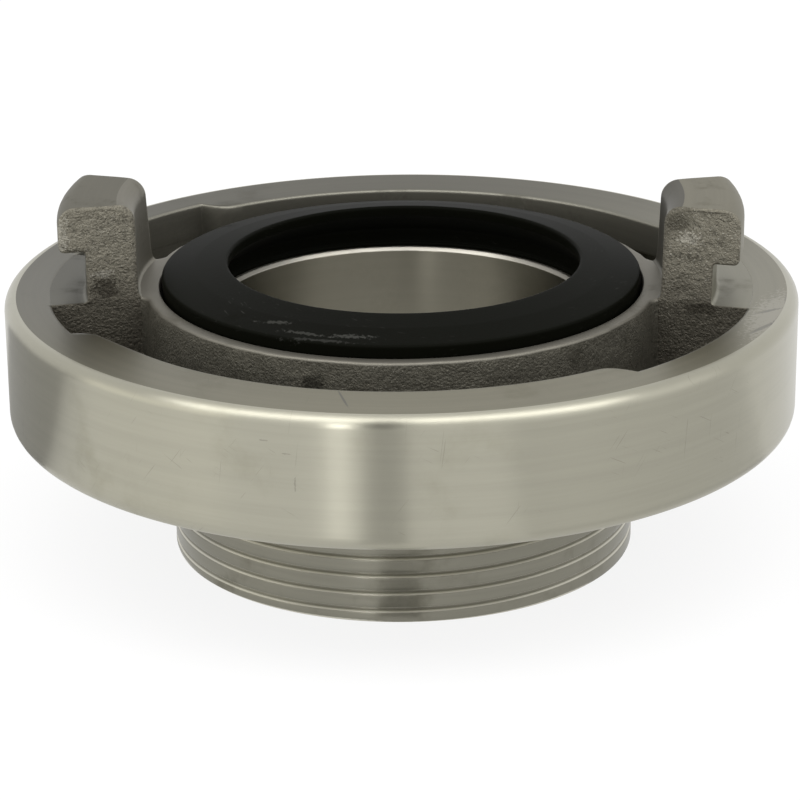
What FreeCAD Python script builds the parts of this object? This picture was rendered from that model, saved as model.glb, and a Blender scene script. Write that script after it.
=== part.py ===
import FreeCAD, Part
import math
import os
import Sketcher

# Fixed hose coupling with two bayonet hooks, lug size C, and a two inch male pipe thread.
# One aluminium casting carries the ring, the two bayonet hooks, the collar and the threaded stub.
# A rubber seal ring sits in the collar.
# The coupling stands on its thread: the origin is the centre of the thread's end face, +Z is the axis,
# and the two hooks are centred on the X axis. Lengths are in millimetres and angles in degrees.

SIZES = {
    "bore_radius": 23.9,
    "bore_chamfer": 0.45,
    "thread_wall": 5.9,
    "thread_lead": 0.5,
    "stub_length": 17.7,
    "seat_step": 1.05,
    "seat_depth": 3.0,
    "heel_undercut": 0.5,
    "heel_height": 1.6,
    "rim_width": 1.85,
    "rim_rise": 0.3,
    "collar_taper": 0.7,
    "hook_setback": 0.95,
    "shaft_thickness": 6.45,
    "nose_reach": 3.3,
    "lip_clearance": 1.1,
    "slot_clearance": 1.3,
    "ring_wall": 5.8,
    "ring_height": 16.7,
    "ring_top_edge": 1.5,
    "ring_bottom_edge": 2.0,
    "channel_depth": 12.2,
    "channel_corner": 1.5,
    "lip_thickness": 4.6,
    "lip_corner": 1.5,
    "long_slot_end": 50.5,
    "short_slot_end": 30.0,
    "hook_half_angle": 13.8,
    "hook_rise": 11.8,
    "hook_outer_edge": 4.0,
    "hook_inner_edge": 3.5,
    "hook_end_draft": 10.2,
    "hook_root_radius": 0.6,
    "nose_underside": 5.7,
    "nose_slope": 3.7,
    "seal_overhang": 1.5,
    "seal_foot_setback": 1.1,
    "seal_side_gap": 0.35,
    "seal_inner_rise": 3.3,
    "seal_outer_rise": 1.7,
    "seal_lip_height": 1.4,
    "seal_edge": 0.35,
    "seal_clearance": 0.1,
}

doc = FreeCAD.newDocument("hose_coupling")
sheet = doc.addObject("Spreadsheet::Sheet", "sizes")
for row, (alias, number) in enumerate(SIZES.items(), start=1):
    sheet.set(f"A{row}", alias)
    sheet.set(f"B{row}", str(number))
    sheet.setAlias(f"B{row}", alias)
doc.recompute()


class Size:
    """A number together with the sheet formula that it comes from."""

    def __init__(self, number, formula):
        self.number = number
        self.formula = formula

    def __add__(self, other):
        other = as_size(other)
        return Size(self.number + other.number, f"({self.formula} + {other.formula})")

    def __sub__(self, other):
        other = as_size(other)
        return Size(self.number - other.number, f"({self.formula} - {other.formula})")

    def __mul__(self, other):
        other = as_size(other)
        return Size(self.number * other.number, f"({self.formula} * {other.formula})")

    def __truediv__(self, other):
        other = as_size(other)
        return Size(self.number / other.number, f"({self.formula} / {other.formula})")

    def __neg__(self):
        return Size(-self.number, f"(0 - {self.formula})")


def as_size(entry):
    """Return entry as a Size, a plain number included."""
    if isinstance(entry, Size):
        return entry
    return Size(float(entry), str(entry))


def size(alias):
    """Return the sheet's cell of that name."""
    return Size(float(sheet.get(alias)), f"sizes.{alias}")


def tangent(angle):
    """Return the tangent of an angle in degrees."""
    return Size(math.tan(math.radians(angle.number)), f"tan({angle.formula} * 1deg)")


def sine(angle):
    """Return the sine of an angle in degrees."""
    return Size(math.sin(math.radians(angle.number)), f"sin({angle.formula} * 1deg)")


def cosine(angle):
    """Return the cosine of an angle in degrees."""
    return Size(math.cos(math.radians(angle.number)), f"cos({angle.formula} * 1deg)")


# Levels along the axis, from the thread's end face up.
ring_bottom = size("stub_length")
ring_top = ring_bottom + size("ring_height")
rim_level = ring_top + size("rim_rise")
seat_floor = ring_top - size("seat_depth")
heel_top = seat_floor + size("heel_height")
channel_floor = ring_top - size("channel_depth")
lip_underside = ring_top - size("lip_thickness")
hook_top = ring_top + size("hook_rise")
underside_level = ring_top + size("nose_underside")

# Radii, from the bore out. Each follows from the one inside it.
# The lip clears the shaft of a like coupling's hook, and the slot and channel clear its nose.
bore_radius = size("bore_radius")
thread_radius = bore_radius + size("thread_wall")
seat_radius = thread_radius + size("seat_step")
heel_radius = seat_radius + size("heel_undercut")
rim_radius = seat_radius + size("rim_width")
collar_foot_radius = rim_radius + size("collar_taper")
hook_inner_radius = rim_radius + size("hook_setback")
shaft_radius = hook_inner_radius + size("shaft_thickness")
nose_radius = shaft_radius + size("nose_reach")
lip_radius = shaft_radius + size("lip_clearance")
slot_radius = nose_radius + size("slot_clearance")
ring_radius = slot_radius + size("ring_wall")

# How far a cut reaches past the face that it opens, and a joined block into what carries it.
OVERCUT = 2.0
QUARTER_TURN = 90
HALF_TURN = 180
FULL_TURN = 360


def new_body(name):
    """Add a body whose label names its file."""
    body = doc.addObject("PartDesign::Body", name)
    body.Label = name
    return body


def origin_part(body, role):
    """Return one of the body's own origin planes or axes."""
    for feature in body.Origin.OriginFeatures:
        if feature.Role == role:
            return feature
    raise RuntimeError(f"{body.Name} has no {role}")


def upright_sketch(body, name, role="XZ_Plane", turn=None):
    """Add a sketch in an upright plane through the axis, where sketch y is the height.

    In the XZ plane sketch x is the radius. turn is the plane's angle about the axis.
    """
    sketch = body.newObject("Sketcher::SketchObject", name)
    sketch.AttachmentSupport = (origin_part(body, role), [""])
    sketch.MapMode = "FlatFace"
    if turn is not None:
        upright = FreeCAD.Vector(0, 1, 0)
        sketch.AttachmentOffset = FreeCAD.Placement(
            FreeCAD.Vector(), FreeCAD.Rotation(upright, turn.number)
        )
        sketch.setExpression(".AttachmentOffset.Rotation.Angle", f"{turn.formula} * 1deg")
    return sketch


def pin_point(sketch, element, end, x, y):
    """Fix a point of the sketch at (x, y), both bound to the sheet."""
    for kind, entry in (("DistanceX", x), ("DistanceY", y)):
        index = sketch.addConstraint(Sketcher.Constraint(kind, -1, 1, element, end, entry.number))
        sketch.setExpression(f"Constraints[{index}]", entry.formula)


def outline(sketch, corners):
    """Draw a closed outline through the corners.

    A corner is (x, y), or (x, y, radius) where the outline is rounded.
    """
    corners = [tuple(as_size(entry) for entry in corner) for corner in corners]
    count = len(corners)
    points = [FreeCAD.Vector(corner[0].number, corner[1].number, 0) for corner in corners]
    entries, exits, centres = [], [], []
    for index, corner in enumerate(corners):
        radius = corner[2].number if len(corner) == 3 else 0.0
        entry, leave, centre = rounded_corner(points[index - 1], points[index],
                                              points[(index + 1) % count], radius)
        entries.append(entry)
        exits.append(leave)
        centres.append(centre)
    lines = []
    for index in range(count):
        line = Part.LineSegment(exits[index], entries[(index + 1) % count])
        lines.append(sketch.addGeometry(line, False))
    for index, corner in enumerate(corners):
        before, after = lines[index - 1], lines[index]
        if centres[index] is None:
            sketch.addConstraint(Sketcher.Constraint("Coincident", before, 2, after, 1))
            pin_point(sketch, after, 1, corner[0], corner[1])
            continue
        apex = sketch.addGeometry(Part.Point(points[index]), True)
        pin_point(sketch, apex, 1, corner[0], corner[1])
        for line in (before, after):
            sketch.addConstraint(Sketcher.Constraint("PointOnObject", apex, 1, line))
        add_arc(sketch, before, after, entries[index], exits[index], centres[index], corner[2])


def rounded_corner(before, corner, after, radius):
    """Return where a rounding of the corner starts and ends, and its centre."""
    if radius == 0.0:
        return corner, corner, None
    to_before = (before - corner).normalize()
    to_after = (after - corner).normalize()
    half = to_before.getAngle(to_after) / 2
    reach = radius / math.tan(half)
    bisector = (to_before + to_after).normalize()
    centre = corner + bisector * (radius / math.sin(half))
    return corner + to_before * reach, corner + to_after * reach, centre


def add_arc(sketch, before, after, start, end, centre, radius):
    """Join two lines with a tangent arc of the given radius."""
    turns_left = (start - centre).cross(end - centre).z > 0
    first, last = (start, end) if turns_left else (end, start)
    angles = [math.atan2(point.y - centre.y, point.x - centre.x) for point in (first, last)]
    circle = Part.Circle(centre, FreeCAD.Vector(0, 0, 1), radius.number)
    arc = sketch.addGeometry(Part.ArcOfCircle(circle, angles[0], angles[1]), False)
    arc_start, arc_end = (1, 2) if turns_left else (2, 1)
    sketch.addConstraint(Sketcher.Constraint("Tangent", before, 2, arc, arc_start))
    sketch.addConstraint(Sketcher.Constraint("Tangent", arc, arc_end, after, 1))
    index = sketch.addConstraint(Sketcher.Constraint("Radius", arc, radius.number))
    sketch.setExpression(f"Constraints[{index}]", radius.formula)


def revolve(body, kind, sketch, angle=None):
    """Turn a section about the axis: all the way round, or through angle with the section midway."""
    feature = body.newObject(f"PartDesign::{kind}", sketch.Name.replace("section", kind.lower()))
    feature.Profile = sketch
    feature.ReferenceAxis = (sketch, ["V_Axis"])
    if angle is None:
        feature.Angle = FULL_TURN
    else:
        feature.Midplane = True
        feature.Angle = angle.number
        feature.setExpression("Angle", f"{angle.formula} * 1deg")
    doc.recompute()
    return feature


def opposite_pair(body, name, features):
    """Repeat features on the other side of the axis."""
    pattern = body.newObject("PartDesign::PolarPattern", name)
    pattern.Originals = features
    pattern.Axis = (origin_part(body, "Z_Axis"), [""])
    pattern.Angle = FULL_TURN
    pattern.Occurrences = 2
    body.Tip = pattern
    doc.recompute()
    return pattern


def turned_blank(body):
    """Ring, collar and stub before the bayonet is cut: one turned section."""
    sketch = upright_sketch(body, "blank_section")
    web_step = (hook_inner_radius + shaft_radius) / 2
    chamfered_bore = bore_radius + size("bore_chamfer")
    outline(sketch, [
        (chamfered_bore, 0),
        (thread_radius - size("thread_lead"), 0),
        (thread_radius, size("thread_lead")),
        (thread_radius, ring_bottom),
        (ring_radius, ring_bottom, size("ring_bottom_edge")),
        (ring_radius, ring_top, size("ring_top_edge")),
        (web_step, ring_top),
        (web_step, rim_level),
        (seat_radius, rim_level),
        (seat_radius, heel_top),
        (heel_radius, heel_top),
        (heel_radius, seat_floor),
        (chamfered_bore, seat_floor),
        (bore_radius, seat_floor - size("bore_chamfer")),
        (bore_radius, size("bore_chamfer")),
    ])
    return revolve(body, "Revolution", sketch)


def channel(body):
    """The groove between collar and ring, undercut below the lip, from one hook's web to the next."""
    sketch = upright_sketch(body, "channel_section", turn=as_size(QUARTER_TURN))
    outline(sketch, [
        (rim_radius, rim_level + OVERCUT),
        (rim_radius, rim_level),
        (collar_foot_radius, channel_floor, size("channel_corner")),
        (slot_radius, channel_floor, size("channel_corner")),
        (slot_radius, lip_underside),
        (lip_radius, lip_underside),
        (lip_radius, rim_level + OVERCUT),
    ])
    return revolve(body, "Groove", sketch, as_size(HALF_TURN) - size("hook_half_angle") * 2)


def slot(body, name, first, last):
    """An entry slot through the lip, between two angles from the hook's middle."""
    sketch = upright_sketch(body, f"{name}_section", turn=(first + last) / 2)
    middle_level = (channel_floor + lip_underside) / 2
    outline(sketch, [
        (lip_radius - OVERCUT, middle_level),
        (slot_radius, middle_level),
        (slot_radius, ring_top + OVERCUT),
        (lip_radius - OVERCUT, ring_top + OVERCUT),
    ])
    return revolve(body, "Groove", sketch, last - first)


def round_lip_ends(body, base):
    """Round the corners in plan where each slot ends and the lip begins."""
    corners = []
    for index, edge in enumerate(base.Shape.Edges, start=1):
        if len(edge.Vertexes) != 2:
            continue
        low, high = sorted((vertex.Point for vertex in edge.Vertexes), key=lambda point: point.z)
        upright = math.hypot(high.x - low.x, high.y - low.y) < 0.001
        on_lip = abs(low.z - lip_underside.number) < 0.001 and abs(high.z - ring_top.number) < 0.001
        if upright and on_lip:
            corners.append(f"Edge{index}")
    fillet = body.newObject("PartDesign::Fillet", "lip_corners")
    fillet.Base = (base, corners)
    fillet.Radius = size("lip_corner").number
    fillet.setExpression("Radius", size("lip_corner").formula)
    body.Tip = fillet
    doc.recompute()
    return len(corners)


def casting():
    """Ring, collar, webs and stub, without the hooks."""
    body = new_body("casting")
    turned_blank(body)
    web_end = size("hook_half_angle")
    cuts = [
        channel(body),
        slot(body, "long_slot", -size("long_slot_end"), -web_end),
        slot(body, "short_slot", web_end, size("short_slot_end")),
    ]
    pattern = opposite_pair(body, "opposite_cuts", cuts)
    print("rounded lip corners:", round_lip_ends(body, pattern))
    return body


def hook_block(name):
    """The hook's turned outline over its web, with drafted ends and no gap under the nose yet."""
    body = new_body(name)
    section = upright_sketch(body, f"{name}_section")
    outline(section, [
        (rim_radius, ring_top - OVERCUT),
        (nose_radius, ring_top - OVERCUT),
        (nose_radius, hook_top, size("hook_outer_edge")),
        (hook_inner_radius, hook_top, size("hook_inner_edge")),
        (hook_inner_radius, rim_level, size("hook_root_radius")),
        (rim_radius, rim_level),
    ])
    revolve(body, "Revolution", section, size("hook_half_angle") * 2)
    rise = hook_top + OVERCUT - rim_level
    lean = rise * tangent(size("hook_end_draft"))
    for side, label in ((1, "far"), (-1, "near")):
        sketch = upright_sketch(body, f"{name}_{label}_draft", "YZ_Plane", size("hook_half_angle") * side)
        outline(sketch, [
            (0, rim_level),
            (ring_radius * side, rim_level),
            (ring_radius * side, rim_level + rise),
            (-lean * side, rim_level + rise),
        ])
        end_cut = body.newObject("PartDesign::Pocket", f"{name}_{label}_end")
        end_cut.Profile = sketch
        end_cut.Reversed = True
        end_cut.Length = (nose_radius + OVERCUT).number
        end_cut.setExpression("Length", (nose_radius + OVERCUT).formula)
        doc.recompute()
    return body


def bind(item, prop, entry, unit="mm"):
    """Set a size of a solid from the sheet."""
    item.setExpression(prop, f"{entry.formula} * 1{unit}")


def hook(number):
    """One bayonet hook: the shaft, and above the sloping underside the nose that catches the lip."""
    block = hook_block(f"hook_block_{number}")
    core = doc.addObject("Part::Cylinder", f"shaft_core_{number}")
    bind(core, "Radius", shaft_radius)
    bind(core, "Height", hook_top + OVERCUT)
    above = doc.addObject("Part::Box", f"above_underside_{number}")
    reach = nose_radius + OVERCUT
    slope = size("nose_slope")
    bind(above, "Length", reach)
    bind(above, "Width", reach * 2)
    bind(above, "Height", size("hook_rise") + OVERCUT)
    above.Placement.Rotation = FreeCAD.Rotation(FreeCAD.Vector(1, 0, 0), slope.number)
    bind(above, ".Placement.Rotation.Angle", slope, "deg")
    bind(above, ".Placement.Base.y", -(reach * cosine(slope)))
    bind(above, ".Placement.Base.z", underside_level - reach * sine(slope))
    shaft = doc.addObject("Part::Common", f"shaft_{number}")
    shaft.Base = block
    shaft.Tool = core
    nose = doc.addObject("Part::Common", f"nose_{number}")
    nose.Base = block
    nose.Tool = above
    whole = doc.addObject("Part::Fuse", f"hook_{number}")
    whole.Base = shaft
    whole.Tool = nose
    whole.Placement = FreeCAD.Placement(
        FreeCAD.Vector(), FreeCAD.Rotation(FreeCAD.Vector(0, 0, 1), HALF_TURN * number)
    )
    doc.recompute()
    return whole


def coupling_body():
    """The one-piece casting with both hooks."""
    whole = doc.addObject("Part::MultiFuse", "coupling_body")
    whole.Label = "coupling_body"
    whole.Shapes = [casting(), hook(0), hook(1)]
    whole.Refine = True
    doc.recompute()
    return whole


def seal_ring():
    """The rubber seal: a lip that stands above the rim, and a heel that snaps into the collar."""
    body = new_body("seal_ring")
    section = upright_sketch(body, "seal_section")
    lip_top = ring_top + size("seal_inner_rise")
    lip_foot = lip_top - size("seal_lip_height")
    inner = bore_radius - size("seal_overhang")
    foot = bore_radius + size("seal_foot_setback")
    outer = seat_radius - size("seal_side_gap")
    heel = heel_radius - size("seal_clearance")
    shoulder = heel_top - size("seal_clearance")
    outline(section, [
        (foot, seat_floor),
        (heel, seat_floor),
        (heel, shoulder),
        (outer, shoulder),
        (outer, ring_top + size("seal_outer_rise"), size("seal_edge")),
        (inner, lip_top, size("seal_edge")),
        (inner, lip_foot),
        (foot, lip_foot - (foot - inner)),
    ])
    revolve(body, "Revolution", section)
    return body


def check(parts):
    """Stop if any object of the document failed or any part isn't one valid solid."""
    for item in doc.Objects:
        if "Invalid" in item.State or "Error" in item.State:
            raise RuntimeError(f"{item.Name} failed: {item.State}")
    for part in parts:
        shape = part.Shape
        if shape.isNull() or not shape.isValid() or len(shape.Solids) != 1:
            raise RuntimeError(f"{part.Label} isn't one valid solid")


def main():
    """Build the two pieces and write one STEP file for each."""
    parts = [coupling_body(), seal_ring()]
    doc.recompute()
    check(parts)
    os.makedirs("parts", exist_ok=True)
    for part in parts:
        part.Shape.exportStep(f"parts/{part.Label}.step")
        box = part.Shape.BoundBox
        print(f"{part.Label}: {part.Shape.Volume:.0f} cubic mm,",
              f"{box.XLength:.2f} x {box.YLength:.2f} x {box.ZLength:.2f} mm")


main()
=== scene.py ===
import logging
import math
from dataclasses import dataclass
from enum import Enum

import bmesh
import bpy
import numpy as np
from mathutils import Matrix, Vector, noise


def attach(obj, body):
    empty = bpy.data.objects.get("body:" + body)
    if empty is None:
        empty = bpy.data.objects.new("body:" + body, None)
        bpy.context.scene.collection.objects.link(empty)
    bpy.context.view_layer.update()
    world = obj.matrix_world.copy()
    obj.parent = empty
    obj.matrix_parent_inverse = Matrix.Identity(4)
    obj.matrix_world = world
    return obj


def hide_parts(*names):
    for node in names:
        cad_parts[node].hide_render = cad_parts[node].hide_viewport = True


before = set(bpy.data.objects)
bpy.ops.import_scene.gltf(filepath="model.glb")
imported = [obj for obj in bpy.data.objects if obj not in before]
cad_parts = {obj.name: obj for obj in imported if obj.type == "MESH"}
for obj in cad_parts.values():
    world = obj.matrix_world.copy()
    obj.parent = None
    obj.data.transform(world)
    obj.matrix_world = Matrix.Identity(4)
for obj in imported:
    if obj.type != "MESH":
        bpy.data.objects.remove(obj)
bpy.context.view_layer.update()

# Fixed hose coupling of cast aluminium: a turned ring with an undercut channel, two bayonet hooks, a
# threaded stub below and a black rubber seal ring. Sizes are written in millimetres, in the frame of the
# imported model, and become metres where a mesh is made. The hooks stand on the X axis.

MM = 0.001
BODY = "root"
WELD_REACH = 0.002
SHORTEST_EDGE = 0.001
BLACK = (0.0, 0.0, 0.0, 1.0)
WHITE = (1.0, 1.0, 1.0, 1.0)
log = logging.getLogger("hose_coupling")


class Finish(Enum):
    """The finishes that the surfaces of the coupling have."""

    WALL = 0
    FACE = 1
    CAST = 2
    HOOK_END = 3
    HOOK_TURNED = 4
    HOOK_INSIDE = 5
    SHAFT = 6
    SLOT = 7
    BORE = 8
    CHAMFER = 9
    RIM = 10
    THREAD = 11
    RUBBER = 12


@dataclass
class Corner:
    """A corner of a section, its rounding, and the finishes of the face after it and of the rounding."""

    radius: float
    level: float
    rounding: float = 0.0
    arc_steps: int = 0
    edge_steps: int = 1
    finish: Finish = Finish.WALL
    arc_finish: Finish | None = None


def trace(corners: list[Corner], closed: bool = True) -> np.ndarray:
    """Walk along a section and round its corners.

    The number of points depends on the steps alone, so sections of one kind can be joined point by point.

    Args:
        corners: the corners in order.
        closed: whether the last corner is joined to the first one.

    Returns:
        An array of (radius, level) points.
    """
    raw = np.array([(corner.radius, corner.level) for corner in corners], float)
    count = len(corners)
    entries, exits, arcs = [], [], []
    for index, corner in enumerate(corners):
        here = raw[index]
        inner_corner = closed or 0 < index < count - 1
        if corner.rounding <= 0 or not inner_corner:
            entries.append(here)
            exits.append(here)
            arcs.append([here])
            continue
        to_before = raw[index - 1] - here
        to_after = raw[(index + 1) % count] - here
        before_length, after_length = np.linalg.norm(to_before), np.linalg.norm(to_after)
        to_before, to_after = to_before / before_length, to_after / after_length
        half = math.acos(max(-1.0, min(1.0, float(to_before @ to_after)))) / 2
        reach = min(corner.rounding / math.tan(half), 0.45 * before_length, 0.45 * after_length)
        radius = reach * math.tan(half)
        bisector = to_before + to_after
        centre = here + bisector / np.linalg.norm(bisector) * (radius / math.sin(half))
        start, end = here + to_before * reach, here + to_after * reach
        first = math.atan2(*(start - centre)[::-1])
        turn = math.atan2(*(end - centre)[::-1]) - first
        turn = (turn + math.pi) % (2 * math.pi) - math.pi
        arc = []
        for step in range(corner.arc_steps + 1):
            angle = first + turn * step / corner.arc_steps
            arc.append(centre + radius * np.array((math.cos(angle), math.sin(angle))))
        entries.append(start)
        exits.append(end)
        arcs.append(arc)
    points = []
    for index, corner in enumerate(corners):
        points.extend(arcs[index])
        if not closed and index == count - 1:
            break
        end = entries[(index + 1) % count]
        for step in range(1, corner.edge_steps):
            points.append(exits[index] + (end - exits[index]) * step / corner.edge_steps)
    return np.array(points)


def finishes_along(corners: list[Corner], closed: bool = True) -> list[Finish]:
    """The finish of each step of the section that trace gives.

    Args:
        corners: the corners in order.
        closed: whether the last corner is joined to the first one.

    Returns:
        One finish for each step, where a rounding without its own takes that of the face after it.
    """
    found = []
    for index, corner in enumerate(corners):
        if corner.rounding > 0 and (closed or 0 < index < len(corners) - 1):
            found.extend([corner.arc_finish or corner.finish] * corner.arc_steps)
        if closed or index < len(corners) - 1:
            found.extend([corner.finish] * corner.edge_steps)
    return found


def lumps(points: np.ndarray, wavelength: float, seed: float) -> np.ndarray:
    """Soft unevenness between about -1 and 1 at points in millimetres, the same on each run."""
    offset = Vector((seed, seed * 1.7, seed * 2.3))
    values = [noise.noise(Vector(point) / wavelength + offset) for point in points]
    return np.array(values)


class Shell:
    """Points and faces of one piece while it is being built."""

    def __init__(self) -> None:
        """Start without points."""
        self.points: list[np.ndarray] = []
        self.count = 0
        self.faces: list[tuple[int, ...]] = []
        self.finishes: list[int] = []

    def add_points(self, points: np.ndarray) -> int:
        """Add points in millimetres and return the number of the first one."""
        first = self.count
        self.points.append(np.asarray(points, float).reshape(-1, 3))
        self.count += len(self.points[-1])
        return first

    def add_grid(
        self, points: np.ndarray, finishes: list[Finish], wrap_rows: bool, wrap_columns: bool,
        end_rows: int = 0, end_finish: Finish = Finish.CAST,
    ) -> int:
        """Add a grid of points and the faces between them.

        Args:
            points: an array of rows by columns by 3.
            finishes: the finish of each step from one column to the next.
            wrap_rows: whether the last row is joined to the first.
            wrap_columns: whether the last column is joined to the first.
            end_rows: how many steps from row to row, at either end, take the end's finish instead.
            end_finish: the finish of those.

        Returns:
            The number of the grid's first point.
        """
        rows, columns = points.shape[:2]
        first = self.add_points(points)
        for row in range(rows if wrap_rows else rows - 1):
            here, beyond = first + row * columns, first + (row + 1) % rows * columns
            at_end = end_rows > 0 and not end_rows <= row < rows - 1 - end_rows
            for column in range(columns if wrap_columns else columns - 1):
                after = (column + 1) % columns
                self.faces.append((here + column, here + after, beyond + after, beyond + column))
                self.finishes.append((end_finish if at_end else finishes[column]).value)
        return first

    def piece(
        self, name: str, materials: dict[Finish, bpy.types.Material], sharp: float,
    ) -> bpy.types.Object:
        """Make the object.

        Args:
            name: the object's name.
            materials: the material of each finish.
            sharp: edges that turn by more than this many degrees stay crisp.

        Returns:
            The object, linked to the scene.
        """
        points = np.concatenate(self.points) * MM
        mesh = bpy.data.meshes.new(name)
        mesh.from_pydata([tuple(point) for point in points], [], self.faces)
        used = sorted(set(self.finishes))
        for value in used:
            mesh.materials.append(materials[Finish(value)])
        mesh.polygons.foreach_set("material_index", [used.index(value) for value in self.finishes])
        merge_points(mesh)
        mesh.shade_smooth()
        mesh.set_sharp_from_angle(angle=math.radians(sharp))
        piece = bpy.data.objects.new(name, mesh)
        bpy.context.scene.collection.objects.link(piece)
        weighted = piece.modifiers.new("even_normals", "WEIGHTED_NORMAL")
        weighted.keep_sharp = True
        weighted.weight = 80
        log.info("%s: %d points, %d faces", name, len(mesh.vertices), len(mesh.polygons))
        return piece


def merge_points(mesh: bpy.types.Mesh) -> None:
    """Weld points that coincide, drop faces without area and turn all faces outwards."""
    work = bmesh.new()
    work.from_mesh(mesh)
    bmesh.ops.remove_doubles(work, verts=work.verts, dist=WELD_REACH * MM)
    bmesh.ops.dissolve_degenerate(work, edges=work.edges, dist=SHORTEST_EDGE * MM)
    bmesh.ops.recalc_face_normals(work, faces=work.faces)
    work.to_mesh(mesh)
    work.free()


def turned_points(angles: np.ndarray, sections: np.ndarray) -> np.ndarray:
    """Place sections of (radius, level) points about the axis.

    Args:
        angles: degrees, one for each section or one for each of its points.
        sections: an array of sections by points by 2.

    Returns:
        An array of sections by points by 3.
    """
    angles = np.radians(angles)
    if angles.ndim == 1:
        angles = angles[:, None]
    radius = sections[..., 0]
    return np.stack([radius * np.cos(angles), radius * np.sin(angles), sections[..., 1]], axis=-1)


class Tree:
    """A node tree of a material or a group, with short calls to add and join nodes."""

    def __init__(self, tree: bpy.types.NodeTree) -> None:
        """Take the tree and clear it."""
        self.tree = tree
        tree.nodes.clear()

    def add(self, kind: str, inputs: dict | None = None, **settings: object) -> bpy.types.Node:
        """Add a node.

        Args:
            kind: the node's type name.
            inputs: values or sockets for its inputs, by name or number.
            **settings: properties of the node.

        Returns:
            The node.
        """
        node = self.tree.nodes.new(kind)
        for name, value in settings.items():
            setattr(node, name, value)
        for key, value in (inputs or {}).items():
            self.feed(node.inputs[key], value)
        return node

    def feed(self, socket: bpy.types.NodeSocket, value: object) -> None:
        """Set an input to a value, or join it to another node's output."""
        if isinstance(value, bpy.types.NodeSocket):
            self.tree.links.new(value, socket)
        else:
            socket.default_value = value

    def math(self, operation: str, *values: object) -> bpy.types.NodeSocket:
        """The result of a Math node."""
        node = self.add("ShaderNodeMath", dict(enumerate(values)), operation=operation)
        return node.outputs[0]

    def noise(
        self, vector: object, scale: object, detail: float = 3.0, rough: float = 0.5,
    ) -> bpy.types.NodeSocket:
        """The even noise at a place, between 0 and 1."""
        node = self.add("ShaderNodeTexNoise", {"Vector": vector, "Scale": scale, "Detail": detail,
                                               "Roughness": rough})
        return node.outputs["Fac"]

    def ramp(
        self, value: object, low: object, high: object, start: float = 0.0, end: float = 1.0,
    ) -> bpy.types.NodeSocket:
        """Value carried from the range low to high over to the range start to end, with soft ends."""
        node = self.add("ShaderNodeMapRange", {0: value, 1: low, 2: high, 3: start, 4: end},
                        interpolation_type="SMOOTHSTEP")
        return node.outputs[0]

    def mix(self, share: object, first: object, second: object) -> bpy.types.NodeSocket:
        """A colour between two colours."""
        node = self.add("ShaderNodeMix", data_type="RGBA")
        for index, value in ((0, share), (6, first), (7, second)):
            self.feed(node.inputs[index], value)
        return node.outputs[2]

    def combine(self, x: object, y: object, z: object) -> bpy.types.NodeSocket:
        """A vector from three values."""
        return self.add("ShaderNodeCombineXYZ", {0: x, 1: y, 2: z}).outputs[0]

    def place(self) -> bpy.types.NodeSocket:
        """The place on the object, in metres."""
        return self.add("ShaderNodeTexCoord").outputs["Object"]

    def around(self) -> tuple[bpy.types.NodeSocket, bpy.types.NodeSocket, bpy.types.NodeSocket]:
        """The place as (radius plus height, arc length at the ring's wall, radius)."""
        split = self.add("ShaderNodeSeparateXYZ", {0: self.place()})
        x, y, z = split.outputs
        squares = self.math("ADD", self.math("MULTIPLY", x, x), self.math("MULTIPLY", y, y))
        radius = self.math("SQRT", squares)
        arc = self.math("MULTIPLY", self.math("ARCTAN2", y, x), RingCasting.ring_radius * MM)
        return self.math("ADD", radius, z), arc, radius


class Effect:
    """A node group with named inputs and outputs."""

    def __init__(self, name: str, inputs: dict[str, float], outputs: dict[str, str]) -> None:
        """Make the group and its sockets.

        Args:
            name: the group's name.
            inputs: the start value of each number that goes in.
            outputs: the kind of each socket that comes out, Float, Color or Vector.
        """
        self.group = bpy.data.node_groups.new(name, "ShaderNodeTree")
        self.tree = Tree(self.group)
        for label, value in inputs.items():
            socket = self.group.interface.new_socket(label, in_out="INPUT", socket_type="NodeSocketFloat")
            socket.default_value = value
        for label, kind in outputs.items():
            self.group.interface.new_socket(label, in_out="OUTPUT", socket_type=f"NodeSocket{kind}")
        self.inside = self.tree.add("NodeGroupInput")
        self.outside = self.tree.add("NodeGroupOutput")

    def put_out(self, label: str, value: bpy.types.NodeSocket) -> None:
        """Join a value to one of the outputs."""
        self.tree.feed(self.outside.inputs[label], value)

    def place_in(self, tree: Tree, **values: object) -> bpy.types.Node:
        """Add the group to a material, with underscores in the names for spaces."""
        node = tree.add("ShaderNodeGroup", node_tree=self.group)
        for label, value in values.items():
            tree.feed(node.inputs[label.replace("_", " ").capitalize()], value)
        return node


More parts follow.
